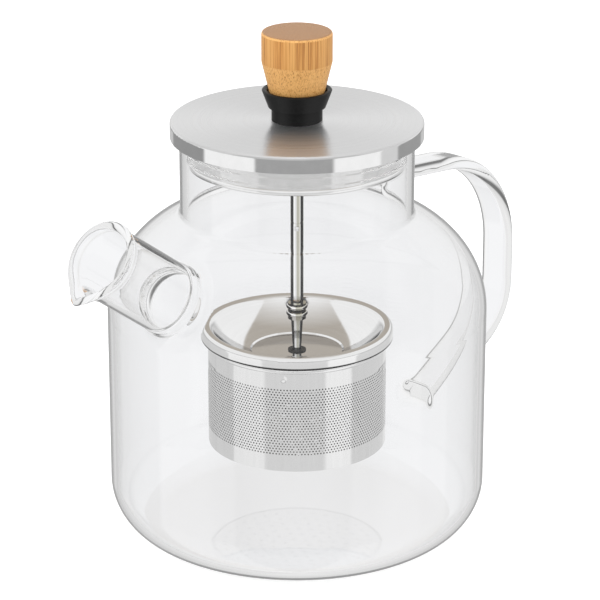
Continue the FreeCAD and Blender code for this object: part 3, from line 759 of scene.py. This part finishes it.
def rod_look():
    """Polished bar: so thin that it squeezes the whole room, dark corners included, into stripes, painted
    into its colour as a reflection that follows the viewer.
    """
    look = Look("steel_rod", Metallic=1.0)
    # painted reflection: the base colour follows the viewer's left and right, not the bar
    look.set("Base Color", look.ramp(look.across_view(), BAR_PAINTED_REFLECTION))
    haze = look.noise(look.place, POLISH_HAZE, detail=3.0)
    look.set("Roughness", look.ramp(haze, [(0.35, 0.05), (0.75, 0.10)]))
    return look.material


# the shadow line at the foot of the cover's edge, in metres: where it starts, its height, its inside radius
EDGE_FOOT = 0.0795
EDGE_SHADOW = 0.0007
EDGE_RADIUS = 0.036


def dished_look():
    """Spun cover: a mirror softened enough to blur what it shows, over a thin shadow line."""
    look = Look("steel_dished", Metallic=1.0)
    rings = look.noise(look.rings(TURNED_RINGS), 1.0, detail=3.0)
    height = look.new("SeparateXYZ", Vector=look.place).outputs["Z"]
    above_foot = look.maths("MULTIPLY_ADD", height, 1 / EDGE_SHADOW, -EDGE_FOOT / EDGE_SHADOW)
    far = look.maths("GREATER_THAN", look.from_axis(), EDGE_RADIUS)
    dark = look.maths("MULTIPLY", far, look.ramp(above_foot, [(0.6, 1.0), (1.0, 0.0)]))
    look.set("Base Color", look.mix(dark, look.ramp(rings, BRIGHT_STEEL), NEARLY_BLACK))
    look.set("Roughness", look.ramp(rings, [(0.3, 0.06), (0.7, 0.09)]))
    return look.material


# bamboo's colours: fibres along the sides, where the wood slopes (brightened there as painted light), and
# the cut ends
BAMBOO_PALE = (0.82, 0.43, 0.135)
BAMBOO_MID = (0.66, 0.30, 0.075)
BAMBOO_DARK = (0.36, 0.13, 0.03)
BAMBOO_SLOPE_PAINTED_LIGHT = (1.0, 0.57, 0.20)
BAMBOO_SLOPE_PAINTED_LIGHT_MID = (0.84, 0.42, 0.12)
BAMBOO_END = (0.44, 0.235, 0.105)
BAMBOO_END_DARK = (0.26, 0.125, 0.05)


def bamboo_look():
    """Turned bamboo: fibres down the sides, their cut ends as specks where the wood slopes or lies flat,
    with painted light making the downward-facing slope brighter.
    """
    look = Look("bamboo", Roughness=0.45)
    fibres = look.noise(look.stretched(*BAMBOO_FIBRES), 1.0, detail=5.0, roughness=0.65)
    streaks = look.noise(look.stretched(*BAMBOO_STREAKS), 1.0, detail=2.0)
    sides = look.ramp(fibres, [(0.38, BAMBOO_DARK), (0.47, BAMBOO_MID), (0.56, BAMBOO_PALE)])
    sides = look.mix(0.3, sides, look.ramp(streaks, [(0.38, BAMBOO_MID), (0.6, BAMBOO_PALE)]))
    specks = look.noise(look.stretched(*BAMBOO_SPECKS), 1.0, detail=3.0, roughness=0.7)
    # painted light: the taper faces down and gets little light, so its colour is made brighter than the
    # sides; the dark specks are the wood's own cut fibres
    slope = look.ramp(specks, [(0.34, BAMBOO_DARK), (0.43, BAMBOO_SLOPE_PAINTED_LIGHT_MID), (0.52, BAMBOO_SLOPE_PAINTED_LIGHT)])
    ends = look.ramp(specks, [(0.38, BAMBOO_END_DARK), (0.52, BAMBOO_END)])
    tilt = look.maths("ABSOLUTE", look.facing_up())
    colour = look.mix(look.ramp(tilt, [(0.08, 0.0), (0.2, 0.75)]), sides, slope)
    colour = look.mix(look.ramp(tilt, [(0.6, 0.0), (0.9, 1.0)]), colour, ends)
    look.set("Base Color", colour)
    look.set("Roughness", look.ramp(fibres, [(0.3, 0.55), (0.7, 0.38)]))
    look.bump(fibres, strength=0.3, distance=0.0003)
    return look.material


def black_silicone_look():
    look = Look("silicone_black", Specular_IOR_Level=0.25)
    grain = look.noise(look.place, RUBBER_GRAIN, detail=3.0)
    look.set("Base Color", look.ramp(grain, [(0.3, 0.002), (0.7, 0.006)]))
    look.set("Roughness", look.ramp(grain, [(0.3, 0.34), (0.7, 0.5)]))
    look.bump(grain, strength=0.12, distance=0.0002)
    return look.material


def clear_silicone_look():
    look = Look("silicone_clear", IOR=1.41, Transmission_Weight=0.85)
    cloud = look.noise(look.place, CLOUDY_SPOTS, detail=3.0)
    look.set("Base Color", look.ramp(cloud, [(0.3, 0.92), (0.7, 0.98)]))
    look.set("Roughness", look.ramp(cloud, [(0.3, 0.03), (0.7, 0.10)]))
    return look.material


def brass_look():
    look = Look("brass", Metallic=1.0, Roughness=0.3)
    rings = look.noise(look.rings(TURNED_RINGS), 1.0)
    look.set("Base Color", look.ramp(rings, [(0.3, (0.62, 0.42, 0.14)), (0.7, (0.78, 0.56, 0.22))]))
    return look.material


LOOKS = {
    "glass": glass_look(),
    "spun": spun_look(),
    "satin": satin_look(),
    "polished": polished_look(),
    "plug": plug_look(),
    "rod": rod_look(),
    "dished": dished_look(),
    "bamboo": bamboo_look(),
    "black": black_silicone_look(),
    "clear": clear_silicone_look(),
    "brass": brass_look(),
}


def wear(thing, look):
    thing.data.materials.clear()
    thing.data.materials.append(LOOKS[look])


# the lid's turned-down edge: beyond this radius in metres, faces steeper than this
LID_EDGE_INSIDE = 0.0483
LID_EDGE_STEEP = 0.7


def polish_lid_edge(lid):
    """Give the lid's turned-down edge the mirror finish."""
    lid.data.materials.append(LOOKS["polished"])
    for face in lid.data.polygons:
        far = math.hypot(face.center.x, face.center.y) > LID_EDGE_INSIDE
        if far and abs(face.normal.z) < LID_EDGE_STEEP:
            face.material_index = 1


NODE_LOOKS = {
    "lid_cap": "spun",
    "lid_plug": "plug",
    "knob_seat": "black",
    "plug_bush": "black",
    "knob_insert": "brass",
    "rod_stud": "polished",
    "rod": "rod",
    "catch_nub": "polished",
    "catch_spring": "polished",
    "ferrule": "rod",
    "rod_tip": "rod",
    "tip_button": "polished",
    "infuser_cover": "dished",
    "cover_grommet": "black",
    "cover_skirt": "polished",
    "basket_rim": "polished",
    "basket_floor": "satin",
}
# kept out of mirrors, so the dished cover shows the plain studio
UNMIRRORED = ["lid_cap", "lid_plug", "plug_bush"]


# ---------------------------------------------------------------- studio

# Tones round the studio as (degrees to the camera's right, tone) bands, each up to where the next starts;
# 180 is behind the pot. Metal in the open mirrors the OPEN bands, metal behind glass the GLAZED ones.
OPEN_LOW = [
    (-180, 0.62), (-150, 0.34), (-92, 1.05), (-38, 0.42),
    (33, 1.05), (81, 0.75), (103, 0.38), (150, 0.62),
]
OPEN_HIGH = [(-180, 0.90), (-120, 0.75), (-60, 0.62), (60, 0.75), (120, 0.90)]
GLAZED_LOW = [
    (-180, 0.72), (-128, 0.76), (-90, 1.05), (-42, 0.83),
    (37, 1.11), (75, 0.79), (150, 0.88),
]
# half the width of the soft change between two bands, as a share of a full turn
BAND_EDGE = 0.004
# how the open bands give way to a plain ceiling as a ray turns upward
CEILING_RISE = [(0.72, 0.0), (0.95, 1.0)]
CEILING = 1.0
# brightness behind glass by height above the horizon, darkest near it
GLAZED_HIGH = [(0.0, 0.35), (0.08, 0.62), (0.22, 1.05)]
# a step at nought, on a ramp whose middle is nought
STEP = [(0.49, 0.0), (0.51, 1.0)]
# The dished cover shows a beige room behind the pot: half its width at the horizon, and how fast it widens.
BEIGE = (0.50, 0.455, 0.40)
ROOM_WIDTH = 0.12
ROOM_WIDENS = 0.445
# how fully the room shows, from mirrored rays towards the camera's side at 0 to rays behind the pot at 1
ROOM_FADE = [(0.30, 0.0), (0.50, 0.55), (0.72, 1.0)]
# Brightness seen through clear glass, from rays sent back to the viewer at 0 to rays that go on at 1;
# the narrow dips draw the thin dark lines inside the edges of the glass.
THROUGH_GLASS = [
    (0.10, 0.82), (0.15, 0.25), (0.19, 0.25), (0.25, 0.82), (0.66, 0.84), (0.76, 0.70),
    (0.79, 0.15), (0.84, 0.15), (0.88, 0.80), (0.93, 0.95), (1.0, (0.945, 0.95, 0.965)),
]
# what one more bounce off metal leaves of a mirrored ray; the loss grows with the square of the bounces
MIRROR_LEFT = 0.8
# the plain light that falls on matt surfaces, and the backdrop the camera sees
DIFFUSE_LIGHT = 0.75
CAMERA_WHITE = 1.0


def band_stops(bands):
    """Ramp stops that hold each band's colour between narrow changes."""
    stops = []
    ends = [start for start, _ in bands[1:]] + [180]
    for number, ((start, colour), end) in enumerate(zip(bands, ends)):
        first = (start + 180) / 360 + (BAND_EDGE if number else 0)
        stops += [(first, colour), ((end + 180) / 360 - BAND_EDGE, colour)]
    return stops


def make_world():
    """White to the camera; bands of soft panels to metal; a ramp about the viewer to clear glass."""
    world = bpy.data.worlds.new("studio")
    bpy.context.scene.world = world
    world.use_nodes = True
    kit = NodeKit(world.node_tree)
    coordinates = kit.new("TexCoord").outputs
    turned = kit.new("Mapping", Vector=coordinates["Generated"])
    turned.inputs["Rotation"].default_value = (0, 0, math.radians(90 - CAMERA_AZIMUTH))
    split = kit.new("SeparateXYZ", Vector=turned.outputs["Vector"])
    angle = kit.maths("ARCTAN2", split.outputs["Y"], split.outputs["X"])
    share = kit.maths("ADD", kit.maths("DIVIDE", angle, 2 * math.pi), 0.5)
    path = kit.new("LightPath").outputs
    glazed = kit.maths("GREATER_THAN", path["Transmission Depth"], 0.5)
    low = kit.mix(glazed, kit.ramp(share, band_stops(OPEN_LOW)), kit.ramp(share, band_stops(GLAZED_LOW)))
    overhead = kit.ramp(split.outputs["Z"], CEILING_RISE)
    open_high = kit.mix(overhead, kit.ramp(share, band_stops(OPEN_HIGH)), (CEILING,) * 3)
    edge = kit.maths("MULTIPLY_ADD", split.outputs["Z"], ROOM_WIDENS, ROOM_WIDTH)
    inside = kit.maths("SUBTRACT", edge, kit.maths("ABSOLUTE", split.outputs["Y"]))
    behind = kit.ramp(kit.maths("MULTIPLY_ADD", split.outputs["X"], -0.5, 0.5), ROOM_FADE)
    room = kit.maths("MULTIPLY", kit.ramp(kit.maths("ADD", inside, 0.5), STEP), behind)
    glazed_high = kit.mix(room, kit.ramp(split.outputs["Z"], GLAZED_HIGH), BEIGE)
    above = kit.ramp(kit.maths("ADD", split.outputs["Z"], 0.5), STEP)
    mirrored = kit.mix(above, low, kit.mix(glazed, open_high, glazed_high))
    bounces = kit.maths("POWER", kit.maths("SUBTRACT", path["Glossy Depth"], 1.0), 2.0)
    mirrored = kit.mix(kit.maths("POWER", MIRROR_LEFT, bounces), (0.0, 0.0, 0.0), mirrored)
    away = kit.new("SeparateXYZ", Vector=coordinates["Camera"]).outputs["Z"]
    through = kit.ramp(kit.maths("MULTIPLY_ADD", away, 0.5, 0.5), THROUGH_GLASS)
    # a ray that has crossed an odd number of glass surfaces was turned back inside the glass, not by metal
    inside_glass = kit.maths("MODULO", path["Transmission Depth"], 2.0)
    from_metal = kit.maths("SUBTRACT", kit.maths("GREATER_THAN", path["Glossy Depth"], 0.5), inside_glass)
    seen = kit.mix(kit.maths("GREATER_THAN", from_metal, 0.5), through, mirrored)
    seen = kit.mix(path["Is Diffuse Ray"], seen, (DIFFUSE_LIGHT,) * 3)
    seen = kit.mix(path["Is Camera Ray"], seen, (CAMERA_WHITE,) * 3)
    kit.links.new(seen, kit.nodes["Background"].inputs["Color"])


# the floor in metres, just under the pot's foot, and its paper
FLOOR_SIZE = 8
FLOOR_HEIGHT = -0.0002
FLOOR_GREY = 0.9
FLOOR_GLOW = 0.6


def make_floor():
    """Pale paper that only the camera sees directly, so glass and metal show the studio instead."""
    bpy.ops.mesh.primitive_plane_add(size=FLOOR_SIZE, location=(0, 0, FLOOR_HEIGHT))
    floor = bpy.context.object
    floor.name = "floor"
    look = Look("floor_paper", Roughness=0.9, Emission_Color=(1, 1, 1, 1), Emission_Strength=FLOOR_GLOW)
    grain = look.noise(look.place, PAPER_GRAIN, detail=2.0)
    look.set("Base Color", look.ramp(grain, [(0.3, FLOOR_GREY), (0.7, FLOOR_GREY + 0.02)]))
    floor.data.materials.append(look.material)
    floor.visible_glossy = False
    floor.visible_transmission = False
    floor.visible_diffuse = False


# lamps as (name, degrees to the camera's right, elevation, power in watts)
LAMPS = [("key", -60, 45, 9), ("fill", 55, 35, 5)]
LAMP_DISTANCE = 1.4
LAMP_SIZE = 1.0
CLIP_START, CLIP_END = 0.05, 50


def place_facing(thing, azimuth, elevation, distance):
    """Put a camera or lamp at a distance in metres from the pot, looking at it."""
    a, e = math.radians(azimuth), math.radians(elevation)
    back = Vector((math.sin(a) * math.cos(e), -math.cos(a) * math.cos(e), math.sin(e)))
    bpy.context.scene.collection.objects.link(thing)
    thing.location = Vector((0, 0, CAMERA_AIM_HEIGHT * MM)) + back * distance
    thing.rotation_mode = "QUATERNION"
    thing.rotation_quaternion = (-back).to_track_quat("-Z", "Y")


def make_lamps():
    """Soft square lamps that light the matt surfaces and stay out of the mirrors."""
    for name, azimuth, elevation, power in LAMPS:
        data = bpy.data.lights.new(name, "AREA")
        data.size = LAMP_SIZE
        data.energy = power
        lamp = bpy.data.objects.new(name, data)
        place_facing(lamp, CAMERA_AZIMUTH + azimuth, elevation, LAMP_DISTANCE)
        lamp.visible_camera = False
        lamp.visible_glossy = False


def make_camera():
    data = bpy.data.cameras.new("camera")
    data.lens = CAMERA_LENS
    data.shift_x = CAMERA_SHIFT
    data.clip_start, data.clip_end = CLIP_START, CLIP_END
    camera = bpy.data.objects.new("camera", data)
    place_facing(camera, CAMERA_AZIMUTH, CAMERA_ELEVATION, CAMERA_DISTANCE * MM)
    bpy.context.scene.camera = camera


# enough bounces for rays to cross all the glass, the seal and the mirrors inside
GLASS_BOUNCES = 24
METAL_BOUNCES = 8


def main():
    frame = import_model()
    for node, look in NODE_LOOKS.items():
        wear(frame["nodes"][node], look)
    polish_lid_edge(frame["nodes"]["lid_cap"])
    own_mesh(frame["nodes"]["catch_spring"])
    vessel = make_vessel()
    wear(vessel, "glass")
    vessel.visible_glossy = False
    for node in UNMIRRORED:
        frame["nodes"][node].visible_glossy = False
    wear(make_knob(), "bamboo")
    seal = make_seal()
    wear(seal, "clear")
    seal.visible_glossy = False
    wear(make_basket_wall(), "satin")
    make_world()
    make_floor()
    make_lamps()
    make_camera()
    scene = bpy.context.scene
    scene.view_settings.view_transform = "Standard"
    scene.cycles.max_bounces = GLASS_BOUNCES
    scene.cycles.transmission_bounces = GLASS_BOUNCES
    scene.cycles.glossy_bounces = METAL_BOUNCES
    scene.cycles.transparent_max_bounces = GLASS_BOUNCES


main()
